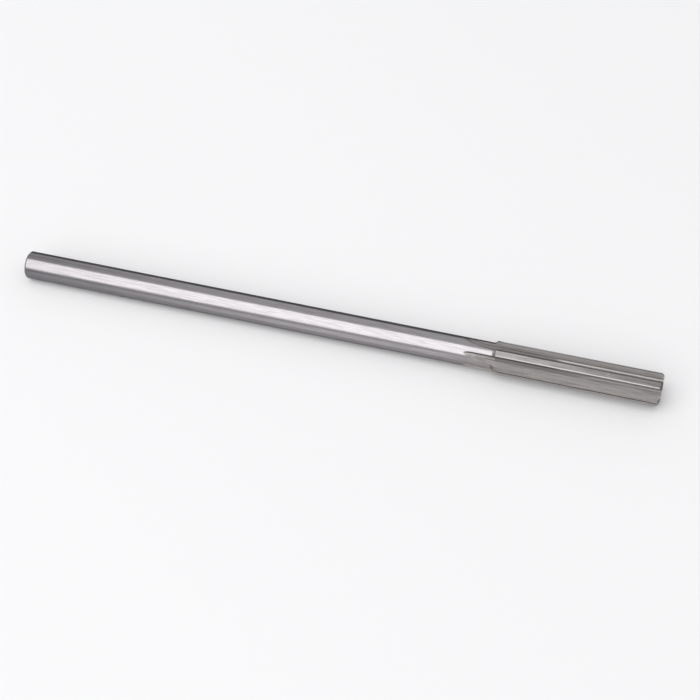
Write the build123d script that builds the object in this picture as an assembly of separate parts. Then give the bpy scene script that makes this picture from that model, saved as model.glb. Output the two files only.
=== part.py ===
from build123d import *
import os
from math import acos, atan2, cos, degrees, radians, sin, tan

# A straight-fluted machine reamer for right-hand cutting, ground from one bar of high-speed steel.
# The tool lies along X: the shank's end face is at x = 0 and the cutting end points to +X.
# +Z is up, and the tool is rolled to the way it rests, on the two teeth beside its lowest flute.
# Sizes are in millimetres, angles in degrees.

# Bar and shoulder
overall_length = 177.8
shank_diameter = 7.65
shank_end_chamfer = 0.45
shoulder_angle = 50.0
shoulder_fillet = 0.8

# Cutting head
cutting_diameter = 9.25
head_length = 44.45
flute_count = 6
rake_depth = 2.4
root_radius = 0.7
flute_back_radius = 12.0
land_width = 1.72
margin_width = 0.3
land_relief_angle = 15.0
fluting_wheel_radius = 30.0

# Bevel lead, the edge that does the cutting
lead_length = 0.75
lead_angle = 45.0
lead_relief_angle = 8.0

# Centre holes, on which both ends are held while the tool is ground
centre_mouth_diameter = 2.65
centre_pilot_diameter = 1.25
centre_pilot_length = 1.6
centre_cone_angle = 60.0
centre_drill_point_angle = 118.0

# How far each cutting form runs past the stock it removes, and the most of the shoulder that its fillet takes
overrun = 1.5
fillet_share = 0.9

# Places that follow from the sizes
cutting_radius = cutting_diameter / 2
shank_radius = shank_diameter / 2
head_start = overall_length - head_length
shoulder_height = abs(cutting_radius - shank_radius)
shoulder_length = shoulder_height / tan(radians(shoulder_angle))
tooth_pitch = 360.0 / flute_count
land_span = degrees(land_width / cutting_radius)
margin_span = degrees(margin_width / cutting_radius)
flute_span = tooth_pitch - land_span


def on_circle(radius, angle):
    """Point of a tooth's section: the cutting edge is at angle 0 and its land at positive angles."""
    return Vector(radius * cos(radians(angle)), radius * sin(radians(angle)))


# The relief is a flat that leaves the margin at the relief angle, and the heel is where it ends.
relief_slack = radians(land_span - margin_span - land_relief_angle)
heel_radius = cutting_radius * cos(radians(land_relief_angle)) / cos(relief_slack)

# At rest the lowest flute's cutting edge and its heel touch the table; this is the edge's angle from straight down.
heel_across = heel_radius * sin(radians(flute_span))
rest_angle = degrees(atan2(cutting_radius - heel_radius * cos(radians(flute_span)), heel_across))

# The section of a tooth at the head's start, seen from the shank's end
section_plane = Plane(origin=(head_start, 0, 0), x_dir=(0, -1, 0), z_dir=(-1, 0, 0))


def turned_blank():
    """Shank, shoulder and head before any flute is cut, turned about the tool's axis.

    The turning starts and ends in the middle of a land, clear of every rake face.
    """
    shoulder_foot = (head_start - shoulder_length, shank_radius)
    outline = Polyline(
        (0, 0),
        (0, shank_radius - shank_end_chamfer),
        (shank_end_chamfer, shank_radius),
        shoulder_foot,
        (head_start, cutting_radius),
        (overall_length, cutting_radius),
        (overall_length, 0),
        close=True,
    )
    half_section = make_face(outline)
    foot_corner = half_section.vertices().sort_by_distance(shoulder_foot)[0]
    shoulder_face = shoulder_height / sin(radians(shoulder_angle))
    widest_fillet = fillet_share * shoulder_face / tan(radians(shoulder_angle / 2))
    half_section = fillet(foot_corner, min(shoulder_fillet, widest_fillet))
    mid_land = 180.0 - land_span / 2
    return Rot(X=mid_land) * revolve(half_section, Axis.X)


def flute():
    """One flute: a radial rake face, a root radius and a hollow back up to the heel of the next tooth.

    The wheel that grinds it runs straight along the head and then lifts out of the shank on its own radius.
    """
    root = Vector(cutting_radius - rake_depth, 0)
    heel = on_circle(heel_radius, -flute_span)
    across = heel - root
    hollow = (flute_back_radius**2 - (across.length / 2) ** 2) ** 0.5
    back_centre = root + across / 2 + Vector(-across.Y, across.X).normalized() * hollow
    past_heel = back_centre + (heel - back_centre).rotate(Axis.Z, degrees(overrun / flute_back_radius))
    outside = cutting_radius + overrun
    outline = Polyline(root, (outside, 0), (outside, past_heel.Y), past_heel)
    outline += ThreePointArc(past_heel, heel, root)
    wheel_section = make_face(outline)
    root_corner = wheel_section.vertices().sort_by_distance(root)[0]
    wheel_section = section_plane * fillet(root_corner, root_radius)

    straight_run = extrude(wheel_section, head_length + overrun, dir=(1, 0, 0))
    wheel_height = root.X + fluting_wheel_radius
    wheel_axis = Axis((head_start, -wheel_height, 0), (0, 0, 1))
    lift_angle = degrees(acos((wheel_height - outside) / (wheel_height - past_heel.X)))
    run_out = revolve(wheel_section, wheel_axis, lift_angle)
    return straight_run + run_out


def land_relief():
    """The stock ground off a land behind its margin, along the head and over the shoulder."""
    margin_end = on_circle(cutting_radius, margin_span)
    heel = on_circle(heel_radius, land_span)
    past_heel = heel + (heel - margin_end).normalized() * overrun
    lift = on_circle(overrun, margin_span)
    outline = Polyline(margin_end, past_heel, past_heel + lift, margin_end + lift, close=True)
    relief_section = section_plane * make_face(outline)
    relief_start = Pos(-shoulder_length, 0, 0) * relief_section
    return extrude(relief_start, shoulder_length + head_length + overrun, dir=(1, 0, 0))


def lead_bevel():
    """The stock ground off a tooth's front corner, falling away behind the cutting edge."""
    slope = radians(lead_angle)
    relief = radians(lead_relief_angle)
    along_edge = Vector(cos(slope), sin(slope), 0)
    square_to_edge = Vector(sin(slope), -cos(slope), 0)
    towards_heel = Vector(0, 0, 1)
    outward = square_to_edge * cos(relief) + towards_heel * sin(relief)
    edge_start = (overall_length - lead_length, -cutting_radius, 0)
    bevel_plane = Plane(origin=edge_start, x_dir=along_edge, z_dir=outward)
    size = 2 * cutting_diameter
    return bevel_plane * Box(size, size, size, align=(Align.CENTER, Align.CENTER, Align.MIN))


def centre_hole():
    """Centre-drilled hole that opens towards -X at the origin."""
    half_cone = tan(radians(centre_cone_angle / 2))
    mouth_radius = centre_mouth_diameter / 2
    pilot_radius = centre_pilot_diameter / 2
    cone_end = (mouth_radius - pilot_radius) / half_cone
    pilot_end = cone_end + centre_pilot_length
    drill_point = pilot_end + pilot_radius / tan(radians(centre_drill_point_angle / 2))
    outline = Polyline(
        (-overrun, 0),
        (-overrun, mouth_radius + overrun * half_cone),
        (cone_end, pilot_radius),
        (pilot_end, pilot_radius),
        (drill_point, 0),
        close=True,
    )
    return revolve(make_face(outline), Axis.X)


def reamer():
    """The finished tool, rolled to the way it rests."""
    cuts = [centre_hole(), Pos(overall_length, 0, 0) * Rot(Y=180) * centre_hole()]
    tooth_cuts = [flute(), land_relief(), lead_bevel()]
    for tooth in range(flute_count):
        cuts += [Rot(X=tooth * tooth_pitch) * cut for cut in tooth_cuts]
    ground = turned_blank() - cuts
    return (Rot(X=90.0 - rest_angle) * ground).solid()


os.makedirs("parts", exist_ok=True)
export_step(reamer(), "parts/reamer.step")
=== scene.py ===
"""Looks of a straight-fluted machine reamer, ground from one bar of high-speed steel.

The tool is one mesh, lofted along its axis from the same sizes as the solid, with finer steps round the bar
and a finish of its own for each way a surface was ground. The tool's sizes are in millimetres, the studio's
in metres, and angles in degrees where nothing else is said.
"""

import logging
import math
from collections.abc import Callable, Sequence
from dataclasses import dataclass, field
from enum import Enum

import bmesh
import bpy
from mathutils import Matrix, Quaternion, Vector


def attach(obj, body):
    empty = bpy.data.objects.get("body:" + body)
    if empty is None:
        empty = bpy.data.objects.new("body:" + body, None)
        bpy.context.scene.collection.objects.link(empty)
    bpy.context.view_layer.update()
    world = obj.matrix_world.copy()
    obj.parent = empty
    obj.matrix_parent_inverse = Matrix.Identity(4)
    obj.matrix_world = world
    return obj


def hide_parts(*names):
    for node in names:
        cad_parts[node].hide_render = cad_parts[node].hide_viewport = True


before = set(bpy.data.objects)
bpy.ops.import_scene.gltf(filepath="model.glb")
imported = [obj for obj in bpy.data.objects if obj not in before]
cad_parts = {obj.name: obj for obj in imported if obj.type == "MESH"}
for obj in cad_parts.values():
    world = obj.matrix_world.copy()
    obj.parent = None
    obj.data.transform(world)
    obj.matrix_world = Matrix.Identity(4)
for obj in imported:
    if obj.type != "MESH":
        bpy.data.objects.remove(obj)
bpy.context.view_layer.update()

log = logging.getLogger("reamer")

MM = 0.001

# Two places along the axis that are nearer than this, in millimetres, are the same.
TOLERANCE = 1e-6
# How often a search halves its range, which takes it down to a float's last digits.
HALVINGS = 48
# Places in the section of the wheel that grinds a flute. From 0 it comes down the back, then goes round the
# root and climbs the rake face, and each of the three ends here.
BACK_END = 1.0
ROOT_END = 2.0
RAKE_END = 3.0
# Share of a turn by which the shader's long direction is swung from round the bar to along it.
QUARTER_TURN = 0.25

Station = Callable[[float], float]
Link = tuple[bpy.types.Node, str]


class Surface(Enum):
    """How a face was made; the value is its material's index on the mesh."""

    SHANK = 0
    LAND = 1
    MARGIN = 2
    FLUTE = 3
    # The flute's bottom, whose finish is painted darker as shade.
    FLOOR = 4
    ROOT = 5
    END = 6


class Marks(Enum):
    """Which way the marks run; the value is how much of each axis a pattern follows.

    Marks along the tool are long or short; marks in rings follow the distance from the axis alone.
    """

    LONG = (0.02, 1.0, 1.0)
    SHORT = (0.05, 1.0, 1.0)
    RINGS = (0.0, 1.0, 1.0)


class Measure(Enum):
    """What a slow change of a finish follows; the value keeps that part of a place."""

    FROM_AXIS = (0.0, 1.0, 1.0)
    ALONG_AXIS = (1.0, 0.0, 0.0)


def linear(hex_colour: str) -> tuple[float, float, float, float]:
    """Turns an sRGB hex colour into linear light.

    Args:
        hex_colour: Six hex digits after a hash.

    Returns:
        Red, green, blue and an alpha of 1.
    """
    channels = [int(hex_colour[i : i + 2], 16) / 255 for i in (1, 3, 5)]
    light = [c / 12.92 if c <= 0.04045 else ((c + 0.055) / 1.055) ** 2.4 for c in channels]
    return (light[0], light[1], light[2], 1.0)


def add_node(
    tree: bpy.types.NodeTree,
    kind: str,
    links: dict[str | int, Link] | None = None,
    values: dict[str, object] | None = None,
    **settings: object,
) -> bpy.types.Node:
    """Adds a node with its settings, constant inputs and links.

    Args:
        tree: The node tree that gets it.
        kind: The node's type name.
        links: Input name or number to the node and output that feeds it.
        values: Input name to a constant.
        **settings: Properties of the node itself.

    Returns:
        The new node.
    """
    node = tree.nodes.new(kind)
    for name, value in settings.items():
        setattr(node, name, value)
    for name, value in (values or {}).items():
        node.inputs[name].default_value = value
    for name, (source, output) in (links or {}).items():
        tree.links.new(source.outputs[output], node.inputs[name])
    return node


@dataclass(frozen=True)
class Drift:
    """A slow change over the tool, from a finish's streaked look to its plain one or part of the way.

    It starts and ends at these places, in millimetres, and there the pattern is shifted by these amounts.
    """

    measure: Measure
    start: float
    end: float
    start_shift: float
    end_shift: float

    def build(self, tree: bpy.types.NodeTree, place: Link, pattern: Link) -> Link:
        """Adds the change to a pattern.

        Args:
            tree: The material's node tree.
            place: Gives the place in object space.
            pattern: The pattern that it shifts.

        Returns:
            The shifted pattern.
        """
        kept = add_node(tree, "ShaderNodeMapping", {"Vector": place}, {"Scale": self.measure.value})
        reach = add_node(tree, "ShaderNodeVectorMath", {"Vector": (kept, "Vector")}, operation="LENGTH")
        shift = add_node(
            tree,
            "ShaderNodeMapRange",
            {"Value": (reach, "Value")},
            {
                "From Min": self.start * MM,
                "From Max": self.end * MM,
                "To Min": self.start_shift,
                "To Max": self.end_shift,
            },
        )
        total = add_node(tree, "ShaderNodeMath", {0: pattern, 1: (shift, "Result")}, operation="ADD")
        return total, "Value"


@dataclass(frozen=True)
class GroundSteel:
    """High-speed steel as a grinding wheel leaves it.

    The bare metal is grey and mirrors its surroundings, blurred across the wheel's marks. Streaks a little
    darker and duller than the rest lie along the marks, and the marks themselves are a fine relief.

    Widths, spacings and depths are in millimetres. The streaks are full below one value of their pattern
    and gone above another.
    """

    name: str
    colour: str
    streak_colour: str
    roughness: float
    streak_roughness: float
    marks: Marks
    streak_width: float
    mark_spacing: float
    mark_depth: float
    anisotropy: float = 0.0
    drift: Drift | None = None
    streaks_full: float = 0.3
    streaks_gone: float = 0.62

    def build(self) -> bpy.types.Material:
        """Makes the material.

        Returns:
            A material with one shader, whose colour, roughness and relief follow patterns in object space.
        """
        made = bpy.data.materials.new(self.name)
        made.use_nodes = True
        tree = made.node_tree
        tree.nodes.clear()
        place = add_node(tree, "ShaderNodeTexCoord")
        followed = add_node(
            tree,
            "ShaderNodeMapping",
            {"Vector": (place, "Object")},
            {"Scale": self.marks.value},
        )
        laid: Link = (followed, "Vector")
        if self.marks is Marks.RINGS:
            reach = add_node(tree, "ShaderNodeVectorMath", {"Vector": laid}, operation="LENGTH")
            laid = (reach, "Value")
        streaks = add_node(
            tree,
            "ShaderNodeTexNoise",
            {"Vector": laid},
            {"Scale": 1 / (self.streak_width * MM), "Detail": 4.0, "Roughness": 0.6},
        )
        pattern: Link = (streaks, "Fac")
        if self.drift:
            pattern = self.drift.build(tree, (place, "Object"), pattern)
        shade = add_node(tree, "ShaderNodeValToRGB", {"Fac": pattern})
        streaked, plain = shade.color_ramp.elements
        streaked.position = self.streaks_full
        streaked.color = linear(self.streak_colour)
        plain.position = self.streaks_gone
        plain.color = linear(self.colour)
        dulling = add_node(
            tree,
            "ShaderNodeMapRange",
            {"Value": pattern},
            {
                "From Min": self.streaks_full,
                "From Max": self.streaks_gone,
                "To Min": self.streak_roughness,
                "To Max": self.roughness,
            },
        )
        fine = add_node(
            tree,
            "ShaderNodeTexNoise",
            {"Vector": laid},
            {"Scale": 1 / (self.mark_spacing * MM), "Detail": 2.0},
        )
        relief = add_node(
            tree,
            "ShaderNodeBump",
            {"Height": (fine, "Fac")},
            {"Strength": 1.0, "Distance": self.mark_depth * MM},
        )
        round_bar = add_node(tree, "ShaderNodeTangent", direction_type="RADIAL", axis="X")
        steel = add_node(
            tree,
            "ShaderNodeBsdfPrincipled",
            {
                "Base Color": (shade, "Color"),
                "Roughness": (dulling, "Result"),
                "Normal": (relief, "Normal"),
                "Tangent": (round_bar, "Tangent"),
            },
            {"Metallic": 1.0, "Anisotropic": self.anisotropy, "Anisotropic Rotation": QUARTER_TURN},
        )
        add_node(tree, "ShaderNodeOutputMaterial", {"Surface": (steel, "BSDF")})
        return made


# A wheel's marks are really some hundredths of a millimetre apart. That is too fine to show in the render,
# so the spacings of the ground finishes are drawn about ten times as coarse.

# Centreless-ground and polished: a satin mirror whose marks run round the bar, so what it shows is drawn out
# along the axis and keeps crisp edges round it. The faint streaks along the bar are the polishing cloth's.
SHANK_STEEL = GroundSteel(
    name="high_speed_steel_polished",
    colour="#AFABAD",
    streak_colour="#9D9A9C",
    roughness=0.22,
    streak_roughness=0.26,
    marks=Marks.SHORT,
    streak_width=0.25,
    mark_spacing=0.25,
    mark_depth=0.0003,
    anisotropy=0.5,
)
# Ground along the tool by a cup wheel: flat facets, a little duller and warmer than the shank.
LAND_STEEL = GroundSteel(
    name="high_speed_steel_land_ground",
    colour="#A4A09E",
    streak_colour="#807C7A",
    roughness=0.25,
    streak_roughness=0.32,
    marks=Marks.SHORT,
    streak_width=0.35,
    mark_spacing=0.2,
    mark_depth=0.0005,
)
# Margin and bevel lead, which cut and so are ground last and finest: the smoothest of the head.
MARGIN_STEEL = GroundSteel(
    name="high_speed_steel_margin_ground",
    colour="#9C9896",
    streak_colour="#928E8C",
    roughness=0.2,
    streak_roughness=0.25,
    marks=Marks.LONG,
    streak_width=0.35,
    mark_spacing=0.2,
    mark_depth=0.0003,
)
# Ground from the solid by a coarse form wheel: a matt, warm grey with short streaks. It is painted darker
# and duller towards the root and lighter out towards the heel and the edge, as painted shade for the flute's
# depth.
FLUTE_STEEL = GroundSteel(
    name="high_speed_steel_flute_ground_painted_shade",
    colour="#B8B4B2",
    streak_colour="#868280",
    roughness=0.48,
    streak_roughness=0.6,
    marks=Marks.SHORT,
    streak_width=0.4,
    mark_spacing=0.2,
    mark_depth=0.0006,
    # Painted shade: the finish darkens towards the axis, deep in the flute, and lightens towards its rim.
    drift=Drift(Measure.FROM_AXIS, 2.5, 4.3, -0.15, 0.2),
)
# The bottom of the flute: dull, and painted dark as shade for its depth, a little less so towards the
# cutting end.
FLOOR_SHADED_STEEL = GroundSteel(
    name="high_speed_steel_flute_bottom_painted_shade",
    colour="#878381",
    streak_colour="#767271",
    roughness=0.5,
    streak_roughness=0.6,
    marks=Marks.LONG,
    streak_width=0.4,
    mark_spacing=0.2,
    mark_depth=0.0006,
    drift=Drift(Measure.ALONG_AXIS, 152.0, 163.0, -0.25, 0.25),
)
# The rake face's foot, burnished by the wheel's rounded corner: the smoothest part of the flute, so it shows
# a bright line. Towards the shank end, before about 150 mm along the tool, it is darker and duller.
ROOT_STEEL = GroundSteel(
    name="high_speed_steel_root_burnished",
    colour="#9C9896",
    streak_colour="#726E6C",
    roughness=0.35,
    streak_roughness=0.5,
    marks=Marks.LONG,
    streak_width=0.4,
    mark_spacing=0.2,
    mark_depth=0.0005,
    drift=Drift(Measure.ALONG_AXIS, 148.5, 153.0, -0.25, 0.25),
)
# Faced on the lathe and centre-drilled before the grinding: plain matt faces with the lathe tool's rings.
# The rings are drawn about three times as coarse as a facing cut leaves them, so that they show.
END_STEEL = GroundSteel(
    name="high_speed_steel_faced",
    colour="#8A8685",
    streak_colour="#7C7877",
    roughness=0.36,
    streak_roughness=0.46,
    marks=Marks.RINGS,
    streak_width=0.5,
    mark_spacing=0.3,
    mark_depth=0.002,
)

FINISHES = {
    Surface.SHANK: SHANK_STEEL,
    Surface.LAND: LAND_STEEL,
    Surface.MARGIN: MARGIN_STEEL,
    Surface.FLUTE: FLUTE_STEEL,
    Surface.FLOOR: FLOOR_SHADED_STEEL,
    Surface.ROOT: ROOT_STEEL,
    Surface.END: END_STEEL,
}


@dataclass(frozen=True)
class Shank:
    """The plain ground bar that the machine's chuck holds, and the shoulder up to the head."""

    diameter: float = 7.65
    end_chamfer: float = 0.45
    shoulder_angle: float = 50.0
    shoulder_fillet: float = 0.8

    @property
    def radius(self) -> float:
        """Half the shank's diameter."""
        return self.diameter / 2


@dataclass(frozen=True)
class CentreHole:
    """A centre-drilled hole: 60 degree cone, pilot and drill point."""

    mouth_diameter: float = 2.65
    pilot_diameter: float = 1.25
    pilot_length: float = 1.6
    cone_angle: float = 60.0
    point_angle: float = 118.0
    sides: int = 64

    def steps(self) -> list[tuple[float, float]]:
        """Lists the hole's rings from its mouth inwards.

        Returns:
            Depth and radius of each ring; the last is the drill point, of radius 0.
        """
        mouth, pilot = self.mouth_diameter / 2, self.pilot_diameter / 2
        cone_end = (mouth - pilot) / math.tan(math.radians(self.cone_angle / 2))
        pilot_end = cone_end + self.pilot_length
        point = pilot_end + pilot / math.tan(math.radians(self.point_angle / 2))
        return [(0.0, mouth), (cone_end, pilot), (pilot_end, pilot), (point, 0.0)]


@dataclass(frozen=True)
class CuttingHead:
    """The fluted end: straight flutes, relieved lands with a margin, and a bevel lead on each tooth.

    In a tooth's section the first axis points along its cutting edge's radius, the second towards its heel.
    """

    diameter: float = 9.25
    length: float = 44.45
    teeth: int = 6
    rake_depth: float = 2.4
    root_radius: float = 0.7
    back_radius: float = 12.0
    land_width: float = 1.72
    margin_width: float = 0.3
    relief_angle: float = 15.0
    wheel_radius: float = 30.0
    lead_length: float = 0.75
    lead_angle: float = 45.0
    lead_relief_angle: float = 8.0
    overrun: float = 1.5

    @property
    def radius(self) -> float:
        """Half the cutting diameter."""
        return self.diameter / 2

    @property
    def pitch(self) -> float:
        """Angle from one cutting edge to the next, in radians."""
        return 2 * math.pi / self.teeth

    @property
    def land_span(self) -> float:
        """Angle of a land, in radians."""
        return self.land_width / self.radius

    @property
    def margin_span(self) -> float:
        """Angle of a margin, in radians."""
        return self.margin_width / self.radius

    @property
    def root(self) -> Vector:
        """Where the rake face and the flute's back would meet without the root radius."""
        return Vector((self.radius - self.rake_depth, 0.0))

    @property
    def heel(self) -> Vector:
        """The heel that the flute's back runs up to, on the tooth before this one."""
        turn = self.land_span - self.pitch
        return self.land_radius(self.land_span) * Vector((math.cos(turn), math.sin(turn)))

    @property
    def rest_angle(self) -> float:
        """Angle in radians from straight down to the edge that the tool rests on, besides a heel."""
        return math.atan2(self.radius - self.heel.x, -self.heel.y)

    @property
    def back_centre(self) -> Vector:
        """Works out where the flute's hollow back has its centre.

        Returns:
            The centre, out in the flute's own space.
        """
        across = self.heel - self.root
        hollow = math.sqrt(self.back_radius**2 - (across.length / 2) ** 2)
        return self.root + across / 2 + Vector((-across.y, across.x)).normalized() * hollow

    @property
    def root_centre(self) -> Vector:
        """Works out where the root radius has its centre.

        Returns:
            The centre of the circle that touches the rake face and the hollow back.
        """
        back, radius = self.back_centre, self.root_radius
        reach = math.sqrt((self.back_radius - radius) ** 2 - (back.y + radius) ** 2)
        return Vector((back.x - reach, -radius))

    def land_radius(self, turn: float) -> float:
        """Radius of the land at an angle behind the cutting edge.

        Args:
            turn: Angle behind the cutting edge, in radians.

        Returns:
            The cutting radius on the margin, and the flat's distance from the axis behind it.
        """
        behind = turn - self.margin_span
        if behind <= 0:
            return self.radius
        relief = math.radians(self.relief_angle)
        return self.radius * math.cos(relief) / math.cos(behind - relief)

    def lead_slopes(self, turn: float) -> tuple[float, float, float]:
        """Gives the bevel's plane as its shares of reach, of run and of radius at an angle.

        Args:
            turn: Angle behind the cutting edge, in radians.

        Returns:
            Three factors a, b and c, for which a - b * run = c * radius on the bevel.
        """
        slope, relief = math.radians(self.lead_angle), math.radians(self.lead_relief_angle)
        reach = math.cos(relief) * math.cos(slope) * self.radius
        run = math.cos(relief) * math.sin(slope)
        radial = math.cos(relief) * math.cos(slope) * math.cos(turn) + math.sin(relief) * math.sin(turn)
        return reach, run, radial

    def lead_radius(self, run: float, turn: float) -> float:
        """Radius of the bevel, run past its start, at an angle behind the cutting edge."""
        reach, per_run, radial = self.lead_slopes(turn)
        return (reach - per_run * run) / radial

    def lead_start(self, turn: float) -> float:
        """Run at which the bevel meets the land, at an angle behind the cutting edge."""
        reach, per_run, radial = self.lead_slopes(turn)
        return (reach - radial * self.land_radius(turn)) / per_run

    def wheel_point(self, share: float) -> Vector:
        """Point of the grinding wheel's section.

        Args:
            share: Place in the section, from 0 to RAKE_END.

        Returns:
            The point in the section of the tooth whose rake face this is.
        """
        back, centre = self.back_centre, self.root_centre

        def along(middle: Vector, radius: float, swing: float) -> Vector:
            """Point of a circle, at an angle from the first axis."""
            return middle + radius * Vector((math.cos(swing), math.sin(swing)))

        def swing_of(arm: Vector) -> float:
            """Angle of an arm from the first axis, 0 to a full turn."""
            return math.atan2(arm.y, arm.x) % (2 * math.pi)

        touch = swing_of(centre - back)
        if share <= BACK_END:
            far = swing_of(self.heel - back) + self.overrun / self.back_radius
            return along(back, self.back_radius, far + (touch - far) * share)
        if share >= ROOT_END:
            far = self.radius + self.overrun
            return Vector((centre.x + (far - centre.x) * (share - ROOT_END), 0.0))
        return along(centre, self.root_radius, touch + (math.pi / 2 - touch) * (share - BACK_END))

    def flute_point(self, share: float, before: float) -> Vector:
        """Point of a flute's surface, where the wheel lifts out of the bar on its own radius.

        Args:
            share: Place in the wheel's section, as for wheel_point.
            before: Distance before the head's start, where the lift begins.

        Returns:
            The point in the tooth's section.
        """
        point = self.wheel_point(share)
        axle = self.root.x + self.wheel_radius
        lifted = axle - math.sqrt((axle - point.x) ** 2 - max(before, 0.0) ** 2)
        return Vector((lifted, point.y))


def bisect(inside: Callable[[float], float], low: float, high: float) -> float:
    """Finds where a function changes sign.

    Args:
        inside: The function, whose signs at low and high differ.
        low: One end of the search.
        high: The other end.

    Returns:
        The place of the change.
    """
    positive_low = inside(low) > 0
    for _ in range(HALVINGS):
        middle = (low + high) / 2
        if (inside(middle) > 0) == positive_low:
            low = middle
        else:
            high = middle
    return (low + high) / 2


def spread(start: float, end: float, steps: int) -> list[float]:
    """Evenly spaced values after start, up to and including end."""
    return [start + (end - start) * i / steps for i in range(1, steps + 1)]


def around(x: float, radius: float, turn: float) -> Vector:
    """Point at a place along the axis, a distance from it and an angle round it in radians."""
    return Vector((x, radius * math.cos(turn), radius * math.sin(turn)))


@dataclass
class Skin:
    """The tool's mesh while it is made.

    Points in one cell of a fine grid share a vertex. What lies as close in two cells is welded at the end.
    """

    cells_per_mm: float = 2e4
    weld_distance: float = 0.0001
    mesh: bmesh.types.BMesh = field(default_factory=bmesh.new)
    seen: dict[tuple[int, ...], bmesh.types.BMVert] = field(default_factory=dict)

    def vertex(self, point: Vector) -> bmesh.types.BMVert:
        """Makes or finds the vertex at a point.

        Args:
            point: Its place, in millimetres.

        Returns:
            The vertex there.
        """
        cell = tuple(round(along * self.cells_per_mm) for along in point)
        if cell not in self.seen:
            self.seen[cell] = self.mesh.verts.new(point * MM)
        return self.seen[cell]

    @staticmethod
    def mark(face: bmesh.types.BMFace, surface: Surface) -> None:
        """Smooths a face and gives it its finish."""
        face.smooth = True
        face.material_index = surface.value

    def face(self, corners: Sequence[bmesh.types.BMVert], surface: Surface) -> None:
        """Adds a face, unless its corners coincide.

        Args:
            corners: Its vertices in order.
            surface: How it was made.
        """
        own = list(dict.fromkeys(corners))
        if len(own) > 2:
            self.mark(self.mesh.faces.new(own), surface)

    def fill(self, loops: Sequence[list[bmesh.types.BMVert]], surface: Surface) -> None:
        """Fills the flat space between closed loops of edges.

        Args:
            loops: The vertices of each loop in order.
            surface: How the faces were made.
        """
        edges = []
        for loop in loops:
            edges += [self.mesh.edges.get(ends) for ends in zip(loop, loop[1:] + loop[:1])]
        filled = bmesh.ops.triangle_fill(self.mesh, edges=edges, use_beauty=True)
        for made in filled["geom"]:
            if isinstance(made, bmesh.types.BMFace):
                self.mark(made, surface)

    def crease(self, first: bmesh.types.BMVert, second: bmesh.types.BMVert) -> None:
        """Makes the edge between two vertices sharp, where there is one.

        Args:
            first: One end of the edge.
            second: Its other end, which may be the same vertex.
        """
        edge = self.mesh.edges.get((first, second)) if first is not second else None
        if edge:
            edge.smooth = False

    def to_object(self, name: str) -> bpy.types.Object:
        """Welds the mesh and puts it into the scene.

        Args:
            name: Name of the object and of its mesh.

        Returns:
            The object.
        """
        bmesh.ops.remove_doubles(self.mesh, verts=self.mesh.verts, dist=self.weld_distance * MM)
        bmesh.ops.recalc_face_normals(self.mesh, faces=self.mesh.faces)
        data = bpy.data.meshes.new(name)
        self.mesh.to_mesh(data)
        self.mesh.free()
        piece = bpy.data.objects.new(name, data)
        bpy.context.scene.collection.objects.link(piece)
        return piece


@dataclass(frozen=True)
class Ring:
    """One ring of the loft, from the first tooth's cutting edge round the tool.

    It has its place along the axis at a cutting edge, and says whether its own edges are sharp and whether
    the flutes are cut there.
    """

    x: float
    sharp: bool
    cut: bool
    vertices: list[bmesh.types.BMVert]


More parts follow.
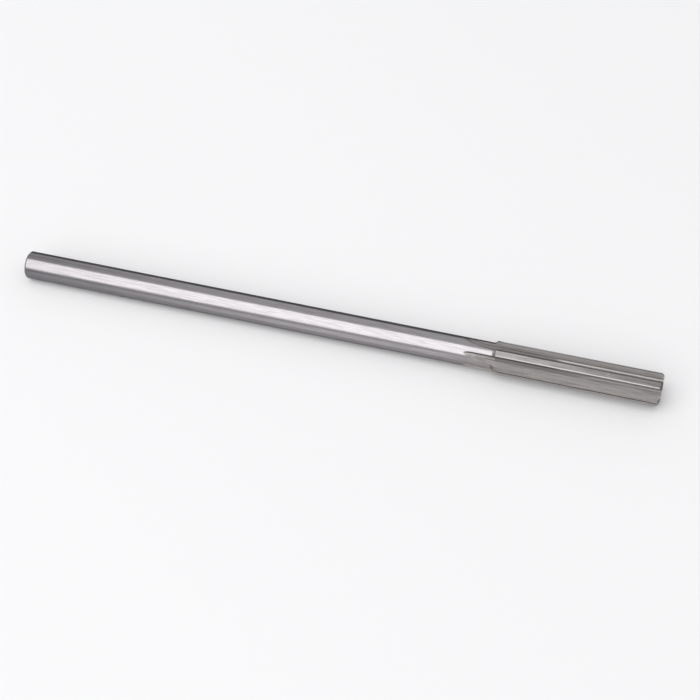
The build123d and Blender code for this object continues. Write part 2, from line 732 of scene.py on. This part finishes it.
@dataclass
class Reamer:
    """The whole tool, one piece, lofted in rings from the shank's end to the cutting end.

    The steps count the faces round one tooth and its flute, and the rings those along the tool. The rings
    of the run-out crowd towards its tip. A flute's deepest point is picked from samples of its section.
    """

    overall_length: float = 177.8
    shank: Shank = field(default_factory=Shank)
    head: CuttingHead = field(default_factory=CuttingHead)
    hole: CentreHole = field(default_factory=CentreHole)
    margin_steps: int = 4
    relief_steps: int = 18
    back_steps: int = 12
    root_steps: int = 10
    rake_steps: int = 8
    shank_rings: int = 36
    run_out_rings: int = 44
    run_out_crowding: float = 2.0
    fillet_rings: int = 6
    cone_rings: int = 4
    land_rings: int = 12
    bevel_rings: int = 6
    section_samples: int = 600

    def __post_init__(self) -> None:
        """Works out the counts and places that follow from the sizes."""
        head, shank = self.head, self.shank
        self.land_steps = self.margin_steps + self.relief_steps
        self.flute_steps = self.back_steps + self.root_steps + self.rake_steps
        self.head_start = self.overall_length - head.length
        self.lead_place = self.overall_length - head.lead_length
        self.slope = math.tan(math.radians(shank.shoulder_angle))
        foot = self.head_start - (head.radius - shank.radius) / self.slope
        half = math.radians(shank.shoulder_angle / 2)
        self.fillet_start = foot - shank.shoulder_fillet * math.tan(half)
        self.fillet_end = self.fillet_start + shank.shoulder_fillet * math.sin(2 * half)
        self.tip_before = bisect(
            lambda before: self.deepest(before)[1] - shank.radius, 0.0, head.wheel_radius / 2
        )
        self.tip_share = self.deepest(self.tip_before)[0]

    def deepest(self, before: float) -> tuple[float, float]:
        """Finds a flute's deepest point.

        Args:
            before: Distance before the head's start.

        Returns:
            Its place in the wheel's section and its distance from the axis.
        """
        shares = [RAKE_END * i / self.section_samples for i in range(self.section_samples + 1)]
        best = min(shares, key=lambda share: self.head.flute_point(share, before).length)
        return best, self.head.flute_point(best, before).length

    def blank_radius(self, x: float) -> float:
        """Radius of the turned blank.

        Args:
            x: Place along the axis.

        Returns:
            The radius there, before any flute is cut.
        """
        shank = self.shank
        if x < shank.end_chamfer:
            return shank.radius - shank.end_chamfer + x
        if x <= self.fillet_start:
            return shank.radius
        if x < self.fillet_end:
            reach = math.sqrt(shank.shoulder_fillet**2 - (x - self.fillet_start) ** 2)
            return shank.radius + shank.shoulder_fillet - reach
        return min(self.head.radius, self.head.radius - (self.head_start - x) * self.slope)

    def land_reach(self, x: float, turn: float) -> float:
        """Radius of the tool between its flutes.

        Args:
            x: Place along the axis.
            turn: Angle behind the cutting edge, in radians.

        Returns:
            The radius there, of the blank with its lands relieved and its teeth beveled.
        """
        radius = min(self.blank_radius(x), self.head.land_radius(turn))
        if x > self.lead_place - self.head.lead_length:
            radius = min(radius, self.head.lead_radius(x - self.lead_place, turn))
        return radius

    def shoulder_top(self, turn: float) -> float:
        """Where the shoulder's cone meets the land, at an angle behind the cutting edge."""
        return self.head_start - (self.head.radius - self.head.land_radius(turn)) / self.slope

    def bevel_start(self, turn: float) -> float:
        """Where the bevel lead meets the land, at an angle behind the cutting edge."""
        return self.lead_place + self.head.lead_start(turn)

    def between(self, first: Station, last: Station, steps: int, power: float = 1.0) -> list[Station]:
        """Sets stations from one to another along the axis.

        Args:
            first: The station that the row starts after.
            last: The station that it ends with.
            steps: How many there are.
            power: Above 1 the stations crowd towards the first.

        Returns:
            The stations after first, up to and including last.
        """

        def station(share: float) -> Station:
            """The station at a share of the way."""
            return lambda turn: first(turn) + (last(turn) - first(turn)) * share

        return [station((i / steps) ** power) for i in range(1, steps + 1)]

    def stations(self) -> list[tuple[Station, bool]]:
        """Lists the rings' places along the axis.

        Returns:
            For each ring its place as a function of the angle, and whether its edges are sharp.
        """

        def flat(x: float) -> Station:
            """A ring square to the axis."""
            return lambda turn: x

        start, end = flat(0.0), flat(self.overall_length)
        chamfer = flat(self.shank.end_chamfer)
        tip = flat(self.head_start - self.tip_before)
        foot, cone = flat(self.fillet_start), flat(self.fillet_end)
        rows = [
            (self.between(start, chamfer, 1), True),
            (self.between(chamfer, tip, self.shank_rings), False),
            (self.between(tip, foot, self.run_out_rings, self.run_out_crowding), False),
            (self.between(foot, cone, self.fillet_rings), False),
            (self.between(cone, self.shoulder_top, self.cone_rings), True),
            (self.between(self.shoulder_top, self.bevel_start, self.land_rings), True),
            (self.between(self.bevel_start, end, self.bevel_rings), True),
        ]
        rings: list[tuple[Station, bool]] = [(start, True)]
        for row, sharp_end in rows:
            rings += [(station, sharp_end and station is row[-1]) for station in row]
        return rings

    def sector(self, station: Station) -> tuple[list[Vector], bool]:
        """Works out one ring over one tooth and the flute behind it.

        Args:
            station: The ring's place along the axis, as a function of the angle.

        Returns:
            Points of x and the two axes of the tooth's section, and whether the flute is cut there.
        """
        head = self.head

        def turn_of(point: Vector) -> float:
            """Angle of a point of the next tooth's section, behind this tooth's cutting edge."""
            return math.atan2(point.y, point.x) + head.pitch

        def gap(share: float) -> float:
            """Says how far a flute's point lies outside the tool before it was fluted.

            Args:
                share: Place in the wheel's section.

            Returns:
                The distance, below 0 for a point inside.
            """
            on_back = share < middle
            place = station(turn_of(head.wheel_point(share))) if on_back else edge_x
            point = head.flute_point(share, self.head_start - place)
            return point.length - self.land_reach(place, turn_of(point) if on_back else 0.0)

        edge_x = station(0.0)
        cut = edge_x > self.head_start - self.tip_before + TOLERANCE
        if cut:
            middle = self.deepest(self.head_start - edge_x)[0]
            first, last = bisect(gap, 0.0, middle), bisect(gap, middle, RAKE_END)
            heel_x = station(turn_of(head.wheel_point(first)))
            heel_turn = turn_of(head.flute_point(first, self.head_start - heel_x))
            edge_turn = turn_of(head.flute_point(last, self.head_start - edge_x)) - head.pitch
        else:
            tip_turn = turn_of(head.flute_point(self.tip_share, self.tip_before))
            heel_x, heel_turn, edge_turn = edge_x, tip_turn, tip_turn - head.pitch

        margin_end = edge_turn + (heel_turn - edge_turn) * head.margin_span / head.land_span
        turns = [edge_turn, *spread(edge_turn, margin_end, self.margin_steps)]
        turns += spread(margin_end, heel_turn, self.relief_steps)
        points = []
        for turn in turns:
            x = station(turn)
            points.append(around(x, self.land_reach(x, turn), turn))

        if not cut:
            return points + [points[-1].copy() for _ in range(self.flute_steps - 1)], cut
        foot, rise = min(max(BACK_END, first), last), min(max(ROOT_END, first), last)
        shares = spread(first, foot, self.back_steps) + spread(foot, rise, self.root_steps)
        shares += spread(rise, last, self.rake_steps)
        for count, share in enumerate(shares[:-1], 1):
            x = heel_x + (edge_x - heel_x) * count / self.flute_steps
            point = head.flute_point(share, self.head_start - x)
            points.append(around(x, point.length, turn_of(point)))
        return points, cut

    def ring(self, skin: Skin, station: Station, sharp: bool) -> Ring:
        """Makes the vertices of one ring.

        Args:
            skin: The mesh under construction.
            station: The ring's place along the axis, as a function of the angle.
            sharp: Whether its edges are sharp.

        Returns:
            The ring.
        """
        points, cut = self.sector(station)
        vertices = []
        for tooth in range(self.head.teeth):
            # The lowest flute's rake face belongs to tooth 0, at the rest angle from straight down.
            roll = self.head.rest_angle - math.pi / 2 + tooth * self.head.pitch
            for point in points:
                y = -point.y * math.cos(roll) + point.z * math.sin(roll)
                z = point.y * math.sin(roll) + point.z * math.cos(roll)
                vertices.append(skin.vertex(Vector((point.x, y, z))))
        return Ring(station(0.0), sharp, cut, vertices)

    def surface(self, step: int, x: float) -> Surface:
        """Says how a face was made.

        Args:
            step: Its place round a tooth and its flute, counted from the cutting edge.
            x: Where it starts along the axis.

        Returns:
            The kind of surface.
        """
        on_head = x > self.head_start - TOLERANCE
        if step >= self.land_steps:
            past_back = step - self.land_steps - self.back_steps
            half_root = self.root_steps // 2
            if half_root <= past_back < self.root_steps:
                return Surface.ROOT
            return Surface.FLOOR if on_head and 0 <= past_back < half_root else Surface.FLUTE
        if x < self.shank.end_chamfer - TOLERANCE:
            return Surface.END
        if x < self.fillet_start - TOLERANCE:
            return Surface.SHANK
        on_margin = on_head and step < self.margin_steps
        on_bevel = x > self.lead_place - TOLERANCE
        return Surface.MARGIN if on_margin or on_bevel else Surface.LAND

    def loft(self, skin: Skin, here: Ring, there: Ring) -> None:
        """Joins two rings with faces, and makes the flutes' edges and the margins' ends sharp.

        Args:
            skin: The mesh under construction.
            here: The ring nearer to the shank's end.
            there: The next ring.
        """
        sides = list(zip(here.vertices, there.vertices))
        per_tooth = len(sides) // self.head.teeth
        for column, ((low, high), (next_low, next_high)) in enumerate(zip(sides, sides[1:] + sides[:1])):
            skin.face((low, high, next_high, next_low), self.surface(column % per_tooth, here.x))
        on_head = here.x > self.head_start - TOLERANCE
        for column, (low, high) in enumerate(sides):
            step = column % per_tooth
            flute_edge = there.cut and step in (0, self.land_steps)
            if flute_edge or (on_head and step == self.margin_steps):
                skin.crease(low, high)

    def close_end(self, skin: Skin, rim: Ring, inward: float) -> None:
        """Closes one end with a flat face and its centre hole.

        Args:
            skin: The mesh under construction.
            rim: The ring that the face closes.
            inward: Direction into the bar along the axis.
        """
        sides = self.hole.sides
        circles = []
        for depth, radius in self.hole.steps():
            count = sides if radius > 0 else 1
            turns = [2 * math.pi * i / sides for i in range(count)]
            circles.append([skin.vertex(around(rim.x + inward * depth, radius, turn)) for turn in turns])
        for outer, inner in zip(circles, circles[1:]):
            for i in range(sides):
                j = (i + 1) % sides
                corners = (outer[i], outer[j], inner[j % len(inner)], inner[i % len(inner)])
                skin.face(corners, Surface.END)
                skin.crease(outer[i], outer[j])
        skin.fill([list(dict.fromkeys(rim.vertices)), circles[0]], Surface.END)

    def build(self) -> bpy.types.Object:
        """Lofts the tool and closes its ends.

        Returns:
            The tool as one closed mesh object, in the solid's own frame.
        """
        skin = Skin()
        rings = [self.ring(skin, station, sharp) for station, sharp in self.stations()]
        for here, there in zip(rings, rings[1:]):
            self.loft(skin, here, there)
        for ring in rings:
            closing = ring is rings[0] or ring is rings[-1]
            per_tooth = len(ring.vertices) // self.head.teeth
            for column, ends in enumerate(zip(ring.vertices, ring.vertices[1:] + ring.vertices[:1])):
                if ring.sharp and (closing or column % per_tooth < self.land_steps):
                    skin.crease(*ends)
        self.close_end(skin, rings[0], 1.0)
        self.close_end(skin, rings[-1], -1.0)
        return skin.to_object("ground_reamer")

    def table_height(self, x: float) -> float:
        """Height of the table that the shank's end and the teeth rest on.

        Args:
            x: Place along the tool, in metres.

        Returns:
            The height there, in metres.
        """
        teeth = self.head.radius * math.cos(self.head.rest_angle)
        slope = (teeth - self.shank.radius) / (self.head_start - self.shank.end_chamfer)
        return -(self.shank.radius + slope * (x / MM - self.shank.end_chamfer)) * MM

    def dress(self, piece: bpy.types.Object) -> None:
        """Gives each kind of surface its finish and ties the piece to the solid.

        Args:
            piece: The lofted tool.
        """
        for surface in Surface:
            piece.data.materials.append(FINISHES[surface].build())
        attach(piece, "root")
        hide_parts("reamer")


@dataclass(frozen=True)
class SoftBox:
    """A large soft lamp; one that is only mirrored shows in the steel and adds no light to the table."""

    name: str
    place: tuple[float, float, float]
    facing: tuple[float, float, float]
    width: float
    height: float
    only_mirrored: bool = True
    radiance: float = 1.6

    def build(self) -> bpy.types.Object:
        """Hangs the lamp.

        Returns:
            The lamp object.
        """
        data = bpy.data.lights.new(self.name, "AREA")
        data.shape = "RECTANGLE"
        data.size, data.size_y = self.width, self.height
        data.energy = self.radiance * math.pi * self.width * self.height
        lamp = bpy.data.objects.new(self.name, data)
        lamp.location = self.place
        lamp.rotation_mode = "QUATERNION"
        lamp.rotation_quaternion = Vector(self.facing).to_track_quat("-Z", "Y")
        lamp.visible_diffuse = not self.only_mirrored
        bpy.context.scene.collection.objects.link(lamp)
        return lamp


# Which way a soft box faces: down on the tool from the front, or along it from beyond the shank's end.
DOWN_ON_TOOL = (0.0, 1.1443, -1.6403)
ALONG_TOOL = (1.0, 0.0, 0.0)

# The front soft box lights the tool and gives the shank its band in the product picture. The others carry
# that band on to pictures from the sides, which mirror what stands further along the tool.
SOFT_BOXES = (
    SoftBox("front_soft_box", (-0.85, -1.1443, 1.6403), DOWN_ON_TOOL, 2.7, 3.08, only_mirrored=False),
    SoftBox("right_soft_box", (2.75, -1.1443, 1.6403), DOWN_ON_TOOL, 3.3, 1.6),
    SoftBox("left_soft_box", (-1.25, -0.575, 0.6), ALONG_TOOL, 0.75, 0.8),
    SoftBox("left_back_soft_box", (-1.25, 0.575, 0.6), ALONG_TOOL, 0.75, 0.8),
)


@dataclass(frozen=True)
class Flag:
    """A flat card that only the steel mirrors; it lies on the table where both its corners are as high.

    A card that fades is solid at the first place along the tool, in metres, and gone at the second.
    """

    name: str
    colour: str
    corner: tuple[float, float, float]
    opposite: tuple[float, float, float]
    fade: tuple[float, float] | None = None

    def corners(self, ground: Callable[[float], float]) -> list[Vector]:
        """Gives the card's four corners, in metres.

        Args:
            ground: Height of the table top at a place along the tool, in metres.

        Returns:
            The corners in order round the card.
        """
        (ax, ay, az), (bx, by, bz) = self.corner, self.opposite
        if az == bz:
            return [Vector((x, y, ground(x) + az)) for x, y in ((ax, ay), (bx, ay), (bx, by), (ax, by))]
        return [Vector(p) for p in ((ax, ay, az), (bx, by, az), (bx, by, bz), (ax, ay, bz))]


FLAGS = (
    # Behind the tool and in front of it: the shank's dark bands above and below its bright one.
    Flag("back_flag", "#606064", (-4.0, 2.4, 0.0), (4.0, 2.4, 0.72)),
    Flag("back_card", "#606064", (-4.0, 0.01, 0.0001), (0.133, 2.4, 0.0001)),
    Flag("front_flag", "#3C3C3E", (-4.0, -3.0, 0.0), (1.0, -3.0, 0.157), (-1.1, 0.15)),
    Flag("front_card", "#3C3C3E", (-4.0, -3.0, 0.0001), (0.15, -0.06, 0.0001), (-0.1, 0.14)),
    # Close in front of the tool and under it: the greys along its lower side. The fore and foot cards are
    # painted shadow: they grey the table next to the tool that the steel mirrors, as the tool's own shadow
    # would.
    Flag("fore_painted_shadow_card", "#C4C4C6", (-0.1, -0.0085, 0.0002), (0.2, -0.004, 0.0002)),
    Flag("foot_painted_shadow_card", "#A2A2A4", (-0.1, -0.004, 0.0002), (0.2, 0.0, 0.0002)),
    Flag("end_card", "#A2A4A6", (-1.0, -0.06, 0.0003), (0.08, 0.0, 0.0003), (-0.02, 0.08)),
    # Round the head: light before its front land, dark under it as painted shade, grey behind it, warm
    # before the run-outs.
    Flag("land_card", "#F8F6F4", (0.134, -0.03, 0.0003), (0.19, -0.0095, 0.0003)),
    Flag("under_painted_shade_card", "#444240", (0.134, -0.0092, 0.0003), (0.179, 0.004, 0.0003)),
    Flag("behind_card", "#8A8886", (0.13, 0.006, 0.0003), (0.2, 0.05, 0.0003), (0.175, 0.135)),
    Flag("run_out_card", "#D0CAC3", (0.11, -0.03, 0.0003), (0.134, -0.004, 0.0003), (0.134, 0.115)),
    # Beyond the tool's two ends, and over the cutting end.
    Flag("right_flag", "#A0A0A2", (2.0, -1.0, 0.0), (2.0, 2.0, 1.2)),
    Flag("left_flag", "#A4A4A6", (-1.3, -3.0, 0.0), (-1.3, 3.0, 3.4)),
    Flag("head_card", "#D8D8DA", (0.15, -0.06, 0.2), (0.6, 0.07, 0.2)),
)


@dataclass
class Studio:
    """A pale table top in an evenly lit room, with a soft box overhead in front and flags round the tool.

    The flags are there for the steel to mirror: they give its bands their dark edges and throw no shadow.
    """

    floor_size: float = 8.0
    floor_colour: str = "#E9E9E9"
    room_colour: str = "#DCDCDE"

    def plain(self, name: str, colour: str, fade: tuple[float, float] | None = None) -> bpy.types.Material:
        """Makes a matt material of one colour.

        Args:
            name: Its name.
            colour: Its sRGB hex colour.
            fade: Places along the tool where it is solid and where it is gone, in metres.

        Returns:
            The material.
        """
        made = bpy.data.materials.new(name)
        made.use_nodes = True
        tree = made.node_tree
        tree.nodes.clear()
        links: dict[str | int, Link] = {}
        if fade:
            place = add_node(tree, "ShaderNodeTexCoord")
            along = add_node(tree, "ShaderNodeSeparateXYZ", {"Vector": (place, "Object")})
            left = add_node(
                tree,
                "ShaderNodeMapRange",
                {"Value": (along, "X")},
                {"From Min": fade[0], "From Max": fade[1], "To Min": 1.0, "To Max": 0.0},
            )
            links["Alpha"] = (left, "Result")
        matt = add_node(
            tree,
            "ShaderNodeBsdfPrincipled",
            links,
            {"Base Color": linear(colour), "Roughness": 1.0, "Specular IOR Level": 0.0},
        )
        add_node(tree, "ShaderNodeOutputMaterial", {"Surface": (matt, "BSDF")})
        return made

    def card(self, name: str, corners: Sequence[Vector], finish: bpy.types.Material) -> bpy.types.Object:
        """Makes a flat card of the stage.

        Args:
            name: Its name.
            corners: Its four corners, in metres.
            finish: Its material.

        Returns:
            The card.
        """
        data = bpy.data.meshes.new(name)
        data.from_pydata([tuple(c) for c in corners], [], [(0, 1, 2, 3)])
        data.materials.append(finish)
        made = bpy.data.objects.new(name, data)
        bpy.context.scene.collection.objects.link(made)
        return made

    def build(self, ground: Callable[[float], float]) -> None:
        """Sets up the table, the flags, the lamps and the room.

        Args:
            ground: Height of the table top at a place along the tool, in metres.
        """
        half = self.floor_size / 2
        signs = ((-1, -1), (1, -1), (1, 1), (-1, 1))
        floor = [Vector((half * a, half * b, ground(half * a))) for a, b in signs]
        self.card("table_top", floor, self.plain("white_table", self.floor_colour))
        for flag in FLAGS:
            card = self.card(flag.name, flag.corners(ground), self.plain(flag.name, flag.colour, flag.fade))
            card.visible_camera = False
            card.visible_diffuse = False
            card.visible_shadow = False
        for soft_box in SOFT_BOXES:
            soft_box.build()
        world = bpy.data.worlds.new("even_room")
        world.use_nodes = True
        world.node_tree.nodes["Background"].inputs["Color"].default_value = linear(self.room_colour)
        bpy.context.scene.world = world


@dataclass(frozen=True)
class ProductCamera:
    """The camera of the product picture: in front of the tool's cutting end, looking down on it."""

    lens: float = 82.4
    sensor_width: float = 36.0
    nearest_view: float = 10.0
    place: tuple[float, float, float] = (161.81, -278.12, 327.95)
    aim: tuple[float, float, float] = (93.058, 0.0, -9.138)
    roll: float = 0.71

    def build(self) -> bpy.types.Object:
        """Sets the scene's camera.

        Returns:
            The camera object.
        """
        data = bpy.data.cameras.new("product_camera")
        data.lens = self.lens
        data.sensor_width = self.sensor_width
        data.clip_start = self.nearest_view * MM
        camera = bpy.data.objects.new("product_camera", data)
        camera.location = Vector(self.place) * MM
        look = (Vector(self.aim) - Vector(self.place)).to_track_quat("-Z", "Y")
        camera.rotation_mode = "QUATERNION"
        camera.rotation_quaternion = look @ Quaternion((0.0, 0.0, 1.0), math.radians(self.roll))
        bpy.context.scene.collection.objects.link(camera)
        bpy.context.scene.camera = camera
        return camera


def main() -> None:
    """Builds the tool, the studio and the camera."""
    logging.basicConfig(level=logging.INFO, format="%(name)s: %(message)s")
    bpy.context.scene.view_settings.view_transform = "Standard"
    reamer = Reamer()
    piece = reamer.build()
    reamer.dress(piece)
    log.info("%s: %d vertices, %d faces", piece.name, len(piece.data.vertices), len(piece.data.polygons))
    Studio().build(reamer.table_height)
    table = reamer.table_height(reamer.head_start * MM) / MM
    log.info("studio: table top at %.3f mm under the shoulder", table)
    camera = ProductCamera().build()
    log.info("%s: lens %.2f mm", camera.name, camera.data.lens)


if __name__ == "__main__":
    main()
